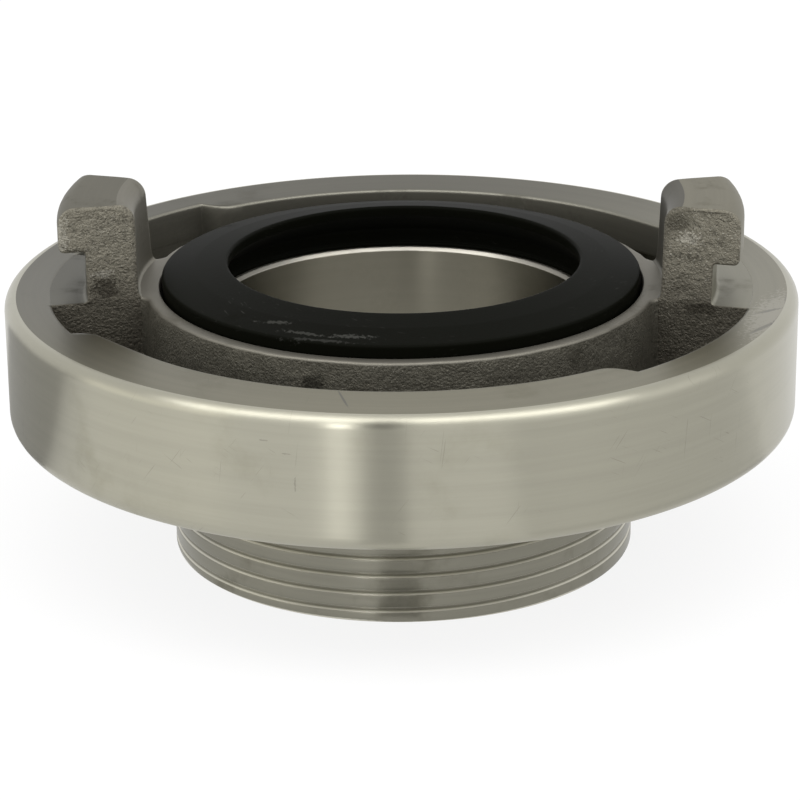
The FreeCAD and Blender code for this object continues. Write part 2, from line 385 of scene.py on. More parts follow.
class Effects:
    """The shared surface effects, each built once."""

    def __init__(self) -> None:
        """Build the groups."""
        self.turning = self.make_turning()
        self.grain = self.make_grain()
        self.stain = self.make_stain()
        self.edge = self.make_edge()
        self.scratch = self.make_scratch()
        self.spot = self.make_spot()

    @staticmethod
    def make_turning() -> Effect:
        """Fine grooves that a lathe leaves around the axis."""
        effect = Effect("turning_marks", {"Fineness": 6000.0, "Wander": 3.0},
                        {"Height": "Float", "Shade": "Float"})
        tree = effect.tree
        along = tree.around()[0]
        split = tree.add("ShaderNodeSeparateXYZ", {0: tree.place()})
        drift = tree.math("MULTIPLY", effect.inside.outputs["Wander"], 8.0)
        x = tree.math("MULTIPLY", split.outputs[0], drift)
        y = tree.math("MULTIPLY", split.outputs[1], drift)
        fine = tree.combine(tree.math("MULTIPLY", along, effect.inside.outputs["Fineness"]), x, y)
        broad = tree.combine(tree.math("MULTIPLY", along, 900.0), x, y)
        effect.put_out("Height", tree.noise(fine, 1.0, 3.0, 0.6))
        effect.put_out("Shade", tree.noise(broad, 1.0, 5.0, 0.7))
        return effect

    @staticmethod
    def make_grain() -> Effect:
        """The skin of a sand casting: pits, grains and small lumps, and a mask of the specks that are
        painted as glints.
        """
        effect = Effect("cast_grain", {"Size": 1.0},
                        {"Height": "Float", "Glint": "Float", "Hollow": "Float"})
        tree = effect.tree
        place = tree.add("ShaderNodeVectorMath", {0: tree.place(), "Scale": effect.inside.outputs["Size"]},
                         operation="SCALE").outputs[0]
        coarse = tree.noise(place, 900.0, 4.0, 0.65)
        fine = tree.noise(place, 2600.0, 4.0, 0.7)
        cells = tree.add("ShaderNodeTexVoronoi", {"Vector": place, "Scale": 1700.0}).outputs["Distance"]
        height = tree.math("ADD", tree.math("MULTIPLY", coarse, 1.4), fine)
        height = tree.math("SUBTRACT", height, tree.math("MULTIPLY", cells, 0.5))
        effect.put_out("Height", height)
        effect.put_out("Glint", tree.ramp(fine, 0.56, 0.74))
        effect.put_out("Hollow", tree.ramp(coarse, 0.5, 0.3))
        return effect

    @staticmethod
    def make_stain() -> Effect:
        """Patches of tarnish and handling dirt."""
        effect = Effect("stain", {"Scale": 60.0, "Cover": 0.5}, {"Mask": "Float"})
        tree = effect.tree
        patches = tree.noise(tree.place(), effect.inside.outputs["Scale"], 6.0, 0.62)
        low = tree.math("SUBTRACT", 0.72, tree.math("MULTIPLY", effect.inside.outputs["Cover"], 0.4))
        high = tree.math("ADD", low, 0.22)
        effect.put_out("Mask", tree.ramp(patches, low, high))
        return effect

    @staticmethod
    def make_edge() -> Effect:
        """Edges rounded by handling: a softened normal and a mask of the edges."""
        effect = Effect("worn_edge", {"Radius": 0.0004}, {"Normal": "Vector", "Mask": "Float"})
        tree = effect.tree
        bevel = tree.add("ShaderNodeBevel", {"Radius": effect.inside.outputs["Radius"]}, samples=6)
        plain = tree.add("ShaderNodeNewGeometry").outputs["Normal"]
        along = tree.add("ShaderNodeVectorMath", {0: bevel.outputs[0], 1: plain}, operation="DOT_PRODUCT")
        effect.put_out("Normal", bevel.outputs[0])
        effect.put_out("Mask", tree.ramp(along.outputs["Value"], 0.985, 0.86))
        return effect

    @staticmethod
    def make_scratch() -> Effect:
        """Short fine scratches, most of them across the turning marks."""
        effect = Effect("scratches", {"Turn": 0.6, "Length": 140.0, "Rarity": 0.7}, {"Mask": "Float"})
        tree = effect.tree
        along, arc, _ = tree.around()
        sine = tree.math("SINE", effect.inside.outputs["Turn"])
        cosine = tree.math("COSINE", effect.inside.outputs["Turn"])
        u = tree.math("ADD", tree.math("MULTIPLY", arc, cosine), tree.math("MULTIPLY", along, sine))
        v = tree.math("SUBTRACT", tree.math("MULTIPLY", along, cosine), tree.math("MULTIPLY", arc, sine))
        stretched = tree.combine(tree.math("MULTIPLY", u, effect.inside.outputs["Length"]),
                                 tree.math("MULTIPLY", v, 5200.0), 0.0)
        lines = tree.noise(stretched, 1.0, 2.0, 0.5)
        patches = tree.noise(tree.place(), 95.0, 2.0, 0.5)
        rarity = effect.inside.outputs["Rarity"]
        mask = tree.ramp(lines, rarity, tree.math("ADD", rarity, 0.05))
        effect.put_out("Mask", tree.math("MULTIPLY", mask, tree.ramp(patches, 0.47, 0.62)))
        return effect

    @staticmethod
    def make_spot() -> Effect:
        """One mark at a given place: an ellipse in plan with a ragged outline."""
        effect = Effect("spot", {"X": 0.0, "Y": 0.0, "Z": 0.0, "Length": 0.002, "Width": 0.002,
                                 "Height": 0.002, "Turn": 0.0, "Ragged": 1.0}, {"Mask": "Float"})
        tree = effect.tree
        ins = effect.inside.outputs
        split = tree.add("ShaderNodeSeparateXYZ", {0: tree.place()})
        gaps = [tree.math("SUBTRACT", split.outputs[number], ins[label])
                for number, label in enumerate("XYZ")]
        sine, cosine = tree.math("SINE", ins["Turn"]), tree.math("COSINE", ins["Turn"])
        along = tree.math("ADD", tree.math("MULTIPLY", gaps[0], cosine),
                          tree.math("MULTIPLY", gaps[1], sine))
        across = tree.math("SUBTRACT", tree.math("MULTIPLY", gaps[1], cosine),
                           tree.math("MULTIPLY", gaps[0], sine))
        shares = [tree.math("DIVIDE", gap, ins[label])
                  for gap, label in ((along, "Length"), (across, "Width"), (gaps[2], "Height"))]
        squares = [tree.math("MULTIPLY", share, share) for share in shares]
        reach = tree.math("SQRT", tree.math("ADD", tree.math("ADD", squares[0], squares[1]), squares[2]))
        uneven = tree.math("SUBTRACT", tree.noise(tree.place(), 2000.0, 4.0, 0.7), 0.5)
        raggedness = tree.math("MULTIPLY", ins["Ragged"], 2.0)
        ragged = tree.math("ADD", reach, tree.math("MULTIPLY", uneven, raggedness))
        effect.put_out("Mask", tree.ramp(ragged, 1.1, 0.6))
        return effect


@dataclass(frozen=True)
class Mark:
    """A stain, a burr, a scratch or a painted highlight at one place of a finish; place and sizes in
    millimetres.
    """

    place: tuple[float, float, float]
    length: float
    width: float
    height: float = 1.0
    turn: float = 0.0
    colour: tuple[float, float, float] = (0.06, 0.058, 0.05)
    share: float = 0.6
    ragged: float = 1.0

    def lay_on(self, tree: Tree, effects: Effects, colour: bpy.types.NodeSocket) -> bpy.types.NodeSocket:
        """The colour with this mark laid over it."""
        x, y, z = (value * MM for value in self.place)
        mask = effects.spot.place_in(tree, x=x, y=y, z=z, length=self.length * MM, width=self.width * MM,
                                     height=self.height * MM, turn=math.radians(self.turn),
                                     ragged=self.ragged).outputs[0]
        return tree.mix(tree.math("MULTIPLY", mask, self.share), colour, (*self.colour, 1.0))


@dataclass(frozen=True)
class Metal:
    """An aluminium finish."""

    name: str
    colour: tuple[float, float, float]
    tarnish: tuple[float, float, float]
    roughness: float
    roughness_spread: float = 0.1
    anisotropy: float = 0.0
    turning_depth: float = 0.0
    turning_shade: float = 0.22
    grain_depth: float = 0.0
    grain_size: float = 1.0
    stain_scale: float = 60.0
    stain_cover: float = 0.5
    scratched: float = 0.0
    edge_radius: float = 0.00025
    wear_and_glint_colour: tuple[float, float, float] = (0.46, 0.45, 0.40)
    edge_share: float = 0.25
    glint: float = 0.0
    hollow: float = 0.4
    groove_tone: float = 0.55
    hollow_tone: float = 0.3
    scratch_tone: float = 0.4
    scratch_runs: tuple[tuple[float, float], ...] = ((0.9, 150.0), (-0.5, 190.0), (1.45, 120.0))
    scratch_rarity: float = 0.69
    marks: tuple[Mark, ...] = ()

    def toned(self, tone: float) -> tuple[float, ...]:
        """The finish's colour times a tone."""
        return (*(tone * value for value in self.colour), 1.0)

    def material(self, effects: Effects) -> bpy.types.Material:
        """Build the finish as a material.

        Args:
            effects: the shared surface effects.

        Returns:
            The material.
        """
        material = bpy.data.materials.new(self.name)
        material.use_nodes = True
        tree = Tree(material.node_tree)
        stain = effects.stain.place_in(tree, scale=self.stain_scale, cover=self.stain_cover).outputs[0]
        edge = effects.edge.place_in(tree, radius=self.edge_radius)
        colour = tree.mix(stain, (*self.colour, 1.0), (*self.tarnish, 1.0))
        roughness = tree.ramp(stain, 0.0, 1.0, self.roughness, self.roughness + self.roughness_spread)
        height, depth = None, 0.0
        if self.turning_depth > 0:
            turning = effects.turning.place_in(tree)
            shade = tree.ramp(turning.outputs["Shade"], 0.3, 0.7, 0.0, self.turning_shade)
            colour = tree.mix(shade, colour, self.toned(self.groove_tone))
            height, depth = turning.outputs["Height"], self.turning_depth
        if self.grain_depth > 0:
            grain = effects.grain.place_in(tree, size=self.grain_size)
            hollow = tree.math("MULTIPLY", grain.outputs["Hollow"], self.hollow)
            colour = tree.mix(hollow, colour, self.toned(self.hollow_tone))
            # Painted glints: bright specks of the grain mixed into the colour.
            if self.glint > 0:
                glint = tree.math("MULTIPLY", grain.outputs["Glint"], self.glint)
                colour = tree.mix(glint, colour, (*self.wear_and_glint_colour, 1.0))
            height, depth = grain.outputs["Height"], self.grain_depth
        wear = tree.math("MULTIPLY", edge.outputs["Mask"], self.edge_share)
        colour = tree.mix(wear, colour, (*self.wear_and_glint_colour, 1.0))
        normal = edge.outputs["Normal"]
        if height is not None:
            normal = tree.add("ShaderNodeBump", {"Strength": 1.0, "Distance": depth, "Height": height,
                                                 "Normal": normal}).outputs[0]
        if self.scratched > 0:
            marks = None
            for turn, length in self.scratch_runs:
                mask = effects.scratch.place_in(tree, turn=turn, length=length,
                                                rarity=self.scratch_rarity).outputs[0]
                marks = mask if marks is None else tree.math("MAXIMUM", marks, mask)
            marks = tree.math("MULTIPLY", marks, self.scratched)
            colour = tree.mix(marks, colour, self.toned(self.scratch_tone))
        for mark in self.marks:
            colour = mark.lay_on(tree, effects, colour)
        colour = self.dress_further(tree, colour)
        shader = tree.add("ShaderNodeBsdfPrincipled", {"Base Color": colour, "Roughness": roughness,
                                                       "Metallic": 1.0, "Normal": normal})
        if self.anisotropy > 0:
            shader.inputs["Anisotropic"].default_value = self.anisotropy
            shader.inputs["Anisotropic Rotation"].default_value = 0.25
            tangent = tree.add("ShaderNodeTangent", direction_type="RADIAL", axis="Z")
            tree.feed(shader.inputs["Tangent"], tangent.outputs[0])
        tree.add("ShaderNodeOutputMaterial", {"Surface": shader.outputs[0]})
        return material

    def dress_further(self, tree: Tree, colour: bpy.types.NodeSocket) -> bpy.types.NodeSocket:
        """Leave the colour as it is; a finish that adds more, such as dirt or painted shade, adds it here.
        """
        return colour


@dataclass(frozen=True)
class PaintedSideShadeMetal(Metal):
    """A finish with painted shade: its colour is darkened towards one side of the coupling, as light falls
    on it there; distances in millimetres.
    """

    lit_side: tuple[float, float] = (0.6, -0.8)
    shade_from: float = 40.0
    shade_to: float = -40.0
    painted_shade_share: float = 0.5

    def dress_further(self, tree: Tree, colour: bpy.types.NodeSocket) -> bpy.types.NodeSocket:
        """Paint shade into the colour: darken it towards the side away from the lit side."""
        split = tree.add("ShaderNodeSeparateXYZ", {0: tree.place()})
        shares = [tree.math("MULTIPLY", split.outputs[number], part)
                  for number, part in enumerate(self.lit_side)]
        towards = tree.math("ADD", *shares)
        painted_side_shade = tree.ramp(towards, self.shade_from * MM, self.shade_to * MM, 0.0, self.painted_shade_share)
        return tree.mix(painted_side_shade, colour, BLACK)


@dataclass(frozen=True)
class ThreadMetal(Metal):
    """The thread's finish, with dirt and painted shade in the grooves, and wear and a painted highlight on
    the lands' edges; radii in millimetres.
    """

    crest: float = 29.8
    dirt_and_shade_from: float = 29.41
    dirt_and_shade_full: float = 29.25
    dirt_and_shade_share: float = 0.75
    wear_and_highlight_share: float = 0.85
    bright: tuple[float, float, float] = (0.62, 0.60, 0.52)
    dirt_and_shade_colour: tuple[float, float, float] = (0.06, 0.057, 0.045)

    def dress_further(self, tree: Tree, colour: bpy.types.NodeSocket) -> bpy.types.NodeSocket:
        """Lay dirt and painted shade in the grooves, and wear and a painted highlight on the edges of the
        lands, over the colour.
        """
        radius = tree.around()[2]
        # Dirt and painted shade: darker deeper in the grooves.
        dirt_and_shade = tree.ramp(radius, self.dirt_and_shade_from * MM, self.dirt_and_shade_full * MM, 0.0, self.dirt_and_shade_share)
        # Wear and a painted highlight: bright on the rounded edges of the lands.
        below_land = tree.ramp(radius, (self.crest - 0.02) * MM, (self.crest - 0.06) * MM)
        above_flank = tree.ramp(radius, (self.crest - 0.24) * MM, (self.crest - 0.12) * MM)
        wear_and_highlight = tree.math("MULTIPLY", tree.math("MULTIPLY", below_land, above_flank), self.wear_and_highlight_share)
        return tree.mix(wear_and_highlight, tree.mix(dirt_and_shade, colour, (*self.dirt_and_shade_colour, 1.0)), (*self.bright, 1.0))


@dataclass(frozen=True)
class HookEndMetal(Metal):
    """The cast ends of the hooks, browner and darker towards the web with painted shade; levels in
    millimetres.
    """

    dark_level: float = 33.0
    light_level: float = 42.5
    shade: tuple[float, float, float] = (0.072, 0.065, 0.052)
    shade_share: float = 0.7

    def dress_further(self, tree: Tree, colour: bpy.types.NodeSocket) -> bpy.types.NodeSocket:
        """Paint shade into the colour towards the web."""
        level = tree.add("ShaderNodeSeparateXYZ", {0: tree.place()}).outputs[2]
        # Painted shade: darker towards the web.
        low = tree.ramp(level, self.light_level * MM, self.dark_level * MM, 0.0, self.shade_share)
        return tree.mix(low, colour, (*self.shade, 1.0))


@dataclass(frozen=True)
class Rubber:
    """The seal's black rubber."""

    name: str = "black_rubber"
    colour: tuple[float, float, float] = (0.0022, 0.0024, 0.0013)
    dust: tuple[float, float, float] = (0.0045, 0.0045, 0.0030)
    dust_share: float = 0.35
    dust_scale: float = 90.0
    dust_cover: float = 0.45
    roughness: float = 0.5
    roughness_spread: float = 0.16
    gloss: float = 0.022
    grain_scale: float = 2200.0
    grain_depth: float = 0.00001
    edge_radius: float = 0.0003
    scratch_turn: float = 0.15
    scratch_length: float = 260.0
    scratch_rarity: float = 0.66
    scratch_share: float = 0.4
    scratch_colour: tuple[float, float, float] = (0.04, 0.04, 0.036)
    marks: tuple[Mark, ...] = ()

    def material(self, effects: Effects) -> bpy.types.Material:
        """Build the rubber as a material.

        Args:
            effects: the shared surface effects.

        Returns:
            The material.
        """
        material = bpy.data.materials.new(self.name)
        material.use_nodes = True
        tree = Tree(material.node_tree)
        stain = effects.stain.place_in(tree, scale=self.dust_scale, cover=self.dust_cover).outputs[0]
        scratch = effects.scratch.place_in(tree, turn=self.scratch_turn, length=self.scratch_length,
                                           rarity=self.scratch_rarity).outputs[0]
        edge = effects.edge.place_in(tree, radius=self.edge_radius)
        fine = tree.noise(tree.place(), self.grain_scale, 4.0, 0.6)
        dusty = tree.math("MULTIPLY", stain, self.dust_share)
        colour = tree.mix(dusty, (*self.colour, 1.0), (*self.dust, 1.0))
        scratched = tree.math("MULTIPLY", scratch, self.scratch_share)
        colour = tree.mix(scratched, colour, (*self.scratch_colour, 1.0))
        for mark in self.marks:
            colour = mark.lay_on(tree, effects, colour)
        roughness = tree.ramp(stain, 0.0, 1.0, self.roughness, self.roughness + self.roughness_spread)
        normal = tree.add("ShaderNodeBump", {"Strength": 1.0, "Distance": self.grain_depth, "Height": fine,
                                             "Normal": edge.outputs["Normal"]}).outputs[0]
        shader = tree.add("ShaderNodeBsdfPrincipled", {"Base Color": colour, "Roughness": roughness,
                                                       "Specular IOR Level": self.gloss, "Normal": normal})
        tree.add("ShaderNodeOutputMaterial", {"Surface": shader.outputs[0]})
        return material


FACE_MARKS = (
    Mark((46.6, -13.4, 34.4), 10.5, 3.0, turn=74.0, colour=(0.32, 0.305, 0.255), share=0.7, ragged=1.5),
    Mark((-4.9, -44.0, 34.4), 3.2, 0.16, turn=105.0, colour=(0.09, 0.088, 0.08), share=0.75, ragged=0.25),
    Mark((-3.05, -40.6, 34.4), 0.5, 0.4, colour=(0.75, 0.74, 0.68), share=0.8),
    Mark((47.4, -14.0, 34.4), 4.6, 0.5, turn=68.0, share=0.5),
    Mark((45.2, -17.5, 34.4), 3.8, 0.4, turn=52.0, share=0.5),
    Mark((48.6, -8.0, 34.4), 3.6, 0.4, turn=86.0, share=0.45),
    Mark((46.0, -11.5, 34.4), 2.2, 0.35, turn=35.0, share=0.5),
)
SEAL_MARKS = (
    Mark((-14.2, -23.6, 36.6), 2.0, 0.3, turn=-15.0, colour=(0.045, 0.045, 0.04), share=0.5, ragged=2.8),
    Mark((-10.4, -26.9, 36.5), 2.8, 0.3, turn=-22.0, colour=(0.045, 0.045, 0.04), share=0.5, ragged=2.8),
    Mark((-4.9, -28.2, 36.3), 2.6, 0.4, turn=-8.0, colour=(0.05, 0.05, 0.045), share=0.55, ragged=2.6),
    Mark((-8.6, -28.7, 36.2), 3.4, 0.25, turn=-14.0, colour=(0.04, 0.04, 0.036), share=0.4, ragged=3.0),
)
WALL_MARKS = (
    Mark((-10.2, -49.4, 26.0), 0.12, 0.6, 0.9, colour=(0.16, 0.155, 0.13), share=0.4, ragged=1.3),
    Mark((-11.2, -49.2, 29.6), 0.7, 0.6, 0.1, colour=(0.16, 0.155, 0.13), share=0.4, ragged=1.3),
    Mark((-13.7, -48.6, 31.0), 0.6, 0.6, 0.12, colour=(0.16, 0.155, 0.13), share=0.4, ragged=1.5),
)
RIM_MARKS = (
    Mark((-7.2, -32.3, 34.6), 3.4, 0.35, turn=-12.0, colour=(0.62, 0.61, 0.56), share=0.7, ragged=0.7),
)
CAST_MARKS = (
    Mark((-9.3, -31.7, 31.5), 1.6, 1.2, 1.6, colour=(0.03, 0.028, 0.022), share=0.7),
)
# Dark spots on the hook ends, and pale patches on them that are painted highlights.
END_MARKS = (
    Mark((-36.6, -9.0, 36.2), 1.9, 2.0, 1.4, colour=(0.014, 0.012, 0.008), share=0.85, ragged=1.5),
    Mark((-37.0, -9.1, 37.9), 1.2, 2.0, 0.4, colour=(0.6, 0.58, 0.52), share=0.3, ragged=2.8),
    Mark((-42.2, -10.1, 43.0), 0.9, 3.0, 2.6, colour=(0.62, 0.6, 0.53), share=0.26, ragged=2.8),
    Mark((37.6, -9.2, 33.8), 2.6, 2.0, 0.8, colour=(0.018, 0.016, 0.011), share=0.8, ragged=2.1),
    Mark((35.6, -9.2, 40.2), 2.4, 3.0, 0.35, colour=(0.03, 0.027, 0.02), share=0.6, ragged=2.3),
    Mark((36.2, -9.0, 42.6), 1.3, 3.0, 0.8, colour=(0.62, 0.6, 0.53), share=0.3, ragged=2.8),
)


class FinishRack:
    """All finishes of the coupling as materials."""

    def __init__(self) -> None:
        """Build the materials."""
        effects = Effects()
        turned = dict(roughness=0.3, roughness_spread=0.06, anisotropy=0.95, turning_depth=0.000004,
                      scratched=0.45)
        hook = dict(roughness=0.5, roughness_spread=0.12, turning_depth=0.000006, stain_scale=150.0,
                    scratched=0.3, edge_share=0.05)
        cast = dict(grain_depth=0.0001, grain_size=1.7, stain_scale=130.0, roughness=0.6,
                    roughness_spread=0.12)
        finishes = {
            Finish.WALL: Metal(
                "turned_wall", (0.395, 0.382, 0.312), (0.337, 0.324, 0.254), turning_shade=0.14,
                marks=WALL_MARKS, **turned),
            # FACE, HOOK_TURNED, HOOK_INSIDE and SHAFT carry painted shade, darker towards one side of the
            # coupling.
            Finish.FACE: PaintedSideShadeMetal(
                "turned_face", (0.205, 0.193, 0.142), (0.166, 0.156, 0.112), marks=FACE_MARKS,
                painted_shade_share=0.56, **(turned | dict(roughness=0.36, anisotropy=0.6, scratched=0.35))),
            Finish.HOOK_TURNED: PaintedSideShadeMetal(
                "turned_hook", (0.187, 0.175, 0.132), (0.136, 0.127, 0.093),
                lit_side=(1.0, 0.0), painted_shade_share=0.36, **hook),
            Finish.HOOK_INSIDE: PaintedSideShadeMetal(
                "turned_hook_inside", (0.18, 0.17, 0.138), (0.13, 0.122, 0.097),
                lit_side=(-1.0, 0.0), **hook),
            Finish.SHAFT: PaintedSideShadeMetal(
                "turned_shaft", (0.25, 0.24, 0.19), (0.195, 0.186, 0.144), roughness=0.42,
                roughness_spread=0.14, turning_depth=0.000006, turning_shade=0.1, stain_scale=110.0,
                edge_share=0.1, painted_shade_share=0.67),
            Finish.SLOT: Metal(
                "milled_slot", (0.20, 0.193, 0.162), (0.13, 0.125, 0.103), roughness=0.5,
                roughness_spread=0.14, turning_depth=0.00001, stain_scale=140.0, scratched=0.3,
                edge_share=0.05),
            Finish.RIM: Metal(
                "turned_rim", (0.185, 0.175, 0.148), (0.13, 0.123, 0.10), roughness=0.55,
                roughness_spread=0.12, turning_depth=0.000006, stain_scale=150.0, scratched=0.3,
                edge_share=0.08, marks=RIM_MARKS),
            # The cast finishes carry painted glints.
            Finish.CAST: Metal(
                "sand_cast", (0.138, 0.130, 0.105), (0.07, 0.065, 0.05), glint=0.3, edge_share=0.0,
                marks=CAST_MARKS, **cast),
            # HOOK_END carries painted shade towards the web and painted glints.
            Finish.HOOK_END: HookEndMetal(
                "sand_cast_end", (0.200, 0.187, 0.150), (0.105, 0.097, 0.076), glint=0.75,
                edge_share=0.0, hollow=0.6, marks=END_MARKS, **(cast | dict(grain_depth=0.00017))),
            Finish.BORE: Metal(
                "bored", (0.262, 0.249, 0.2), (0.212, 0.2, 0.157), roughness=0.34,
                roughness_spread=0.08, anisotropy=0.9, turning_depth=0.000004, turning_shade=0.08,
                stain_scale=60.0),
            Finish.CHAMFER: Metal(
                "bright_chamfer", (0.42, 0.40, 0.35), (0.34, 0.32, 0.27), roughness=0.32,
                turning_depth=0.000004),
            Finish.THREAD: ThreadMetal(
                "cut_thread", (0.24, 0.232, 0.19), (0.18, 0.172, 0.135), roughness=0.36,
                roughness_spread=0.1, anisotropy=0.7, turning_depth=0.000004, stain_scale=120.0,
                edge_share=0.0),
            Finish.RUBBER: Rubber(marks=SEAL_MARKS),
        }
        self.materials = {finish: surface.material(effects) for finish, surface in finishes.items()}


def dress(piece: bpy.types.Object, node: str) -> bpy.types.Object:
    """Let a piece stand for a CAD node and ride on the body."""
    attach(piece, BODY)
    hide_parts(node)
    return piece


@dataclass
class RingCasting:
    """The one-piece casting without its hooks: ring, channel with lips, collar, bore and stub core."""

    ring_radius: float = 50.5
    ring_bottom: float = 17.7
    ring_top: float = 34.4
    top_edge: float = 1.5
    bottom_edge: float = 2.0
    stub_core_radius: float = 28.2
    bore_radius: float = 23.9
    bore_chamfer: float = 0.45
    seat_floor: float = 31.4
    heel_top: float = 33.0
    heel_radius: float = 31.35
    seat_radius: float = 30.85
    rim_level: float = 34.7
    rim_radius: float = 32.7
    land_radius: float = 34.3
    collar_foot_radius: float = 33.4
    channel_floor: float = 22.2
    channel_corner: float = 1.5
    lip_radius: float = 41.2
    lip_underside: float = 29.8
    slot_radius: float = 44.7
    lip_edge: float = 0.35
    seam_edge: float = 0.02
    hook_half_angle: float = 13.8
    short_slot_end: float = 28.4
    long_slot_end: float = 49.5
    lump_height: float = 0.09

    def columns(self) -> np.ndarray:
        """The angles of the sections in degrees, closer together where the shape changes."""
        half = [np.arange(0.0, 180.0, 1.0), np.arange(12.0, 18.0, 0.33), np.arange(28.0, 33.0, 0.2),
                np.arange(180 - 55.2, 180 - 49.0, 0.2), np.arange(162.0, 168.0, 0.33)]
        half = np.unique(np.round(np.concatenate(half), 3))
        keep = np.concatenate([[True], np.diff(half) > 0.08])
        half = half[keep]
        return np.concatenate([half, half + 180.0])

    def inner_edge(self, angles: np.ndarray) -> np.ndarray:
        """The radius of the ring face's inner edge: at the lips, and further out at the slots."""
        turn = np.mod(angles, 180.0)
        short_side = turn - self.short_slot_end
        long_side = 180.0 - turn - self.long_slot_end
        reach = self.slot_radius - 0.02 - self.lip_radius
        quick = 1 - (1 - np.clip(short_side / 3.2, 0, 1)) ** 3
        slow = 1 - (1 - np.clip(short_side / 16.0, 0, 1)) ** 2
        from_short = 0.65 * quick + 0.35 * slow
        from_long = 1 - (1 - np.clip(long_side / 5.33, 0, 1)) ** 3.5
        return self.slot_radius - 0.02 - reach * np.minimum(from_short, from_long)

    def rim_edge(self, angles: np.ndarray) -> np.ndarray:
        """The radius of the rim's outer edge: uneven as cast, and wider where a hook stands."""
        turn = np.mod(angles, 180.0)
        from_hook = np.minimum(turn, 180.0 - turn)
        flare = (1 - np.clip((from_hook - 12.6) / 4.2, 0, 1)) ** 2.2
        circle = np.radians(angles)
        flat_ring = np.stack([np.cos(circle), np.sin(circle), np.zeros_like(circle)], axis=-1)
        places = self.rim_radius * flat_ring
        uneven = 0.26 * lumps(places, 9.0, 3.0) + 0.13 * lumps(places, 2.2, 7.0)
        return self.rim_radius + uneven * (1 - flare) + (self.land_radius - self.rim_radius) * flare

    def lip_roundings(self, angles: np.ndarray) -> np.ndarray:
        """The rounding of the ring face's inner edge: next to nothing where a hook's web adjoins."""
        turn = np.mod(angles, 180.0)
        at_hook = np.minimum(turn, 180.0 - turn) < self.hook_half_angle
        return np.where(at_hook, self.seam_edge, self.lip_edge)

    def corners(self, inner_edge: float, rim_edge: float, lip_edge: float) -> list[Corner]:
        """The corners of one section, from the stub's end face out, over the ring and into the bore."""
        foot = max(self.collar_foot_radius, rim_edge + 0.1)
        chamfered = self.bore_radius + self.bore_chamfer
        cast, wall, face, slot, rim = Finish.CAST, Finish.WALL, Finish.FACE, Finish.SLOT, Finish.RIM
        return [
            Corner(chamfered, 0.0, edge_steps=2, finish=Finish.THREAD),
            Corner(self.stub_core_radius, 0.0, edge_steps=3, finish=Finish.THREAD),
            Corner(self.stub_core_radius, self.ring_bottom, edge_steps=8, finish=wall),
            Corner(self.ring_radius, self.ring_bottom, self.bottom_edge, 8, 12, wall),
            Corner(self.ring_radius, self.ring_top, self.top_edge, 8, 7, face, wall),
            Corner(inner_edge, self.ring_top, lip_edge, 3, 4, slot),
            Corner(inner_edge, self.lip_underside, self.lip_edge, 3, 3, slot),
            Corner(self.slot_radius, self.lip_underside, edge_steps=6, finish=slot),
            Corner(self.slot_radius, self.channel_floor, self.channel_corner, 4, 7, cast),
            Corner(foot, self.channel_floor, self.channel_corner, 4, 14, cast),
            Corner(rim_edge, self.rim_level, 0.3, 3, 3, rim),
            Corner(self.seat_radius, self.rim_level, 0.2, 2, 2, rim),
            Corner(self.seat_radius, self.heel_top, edge_steps=1, finish=rim),
            Corner(self.heel_radius, self.heel_top, edge_steps=1, finish=rim),
            Corner(self.heel_radius, self.seat_floor, edge_steps=4, finish=rim),
            Corner(chamfered, self.seat_floor, edge_steps=1, finish=Finish.CHAMFER),
            Corner(self.bore_radius, self.seat_floor - self.bore_chamfer, edge_steps=10, finish=Finish.BORE),
            Corner(self.bore_radius, self.bore_chamfer, edge_steps=1, finish=Finish.CHAMFER),
        ]

    def build(self, materials: dict[Finish, bpy.types.Material]) -> bpy.types.Object:
        """Build the casting.

        Args:
            materials: the material of each finish.

        Returns:
            The casting's object.
        """
        angles = self.columns()
        edges = zip(self.inner_edge(angles), self.rim_edge(angles), self.lip_roundings(angles))
        sections = np.array([trace(self.corners(inner, rim, lip)) for inner, rim, lip in edges])
        steps = finishes_along(self.corners(self.lip_radius, self.rim_radius, self.lip_edge))
        points = turned_points(angles, sections)
        points = self.roughen(points, steps)
        shell = Shell()
        shell.add_grid(points, steps, wrap_rows=True, wrap_columns=True)
        piece = shell.piece("ring_casting", materials, 34.0)
        return dress(piece, "coupling_body")

    def roughen(self, points: np.ndarray, steps: list[Finish]) -> np.ndarray:
        """Move the points of the cast faces in and out a little, as sand leaves them."""
        cast = np.array([step is Finish.CAST for step in steps])
        both = cast & np.roll(cast, 1)
        chosen = np.nonzero(both)[0]
        places = points[:, chosen].reshape(-1, 3)
        push = self.lump_height * lumps(places, 1.6, 11.0) + 1.2 * self.lump_height * lumps(places, 4.5, 5.0)
        radius = np.hypot(places[:, 0], places[:, 1])
        outward = places[:, :2] / radius[:, None]
        moved = places.copy()
        moved[:, :2] += outward * push[:, None]
        moved[:, 2] = np.minimum(moved[:, 2] + push * 0.5, self.rim_level)
        points[:, chosen] = moved.reshape(len(points), len(chosen), 3)
        return points


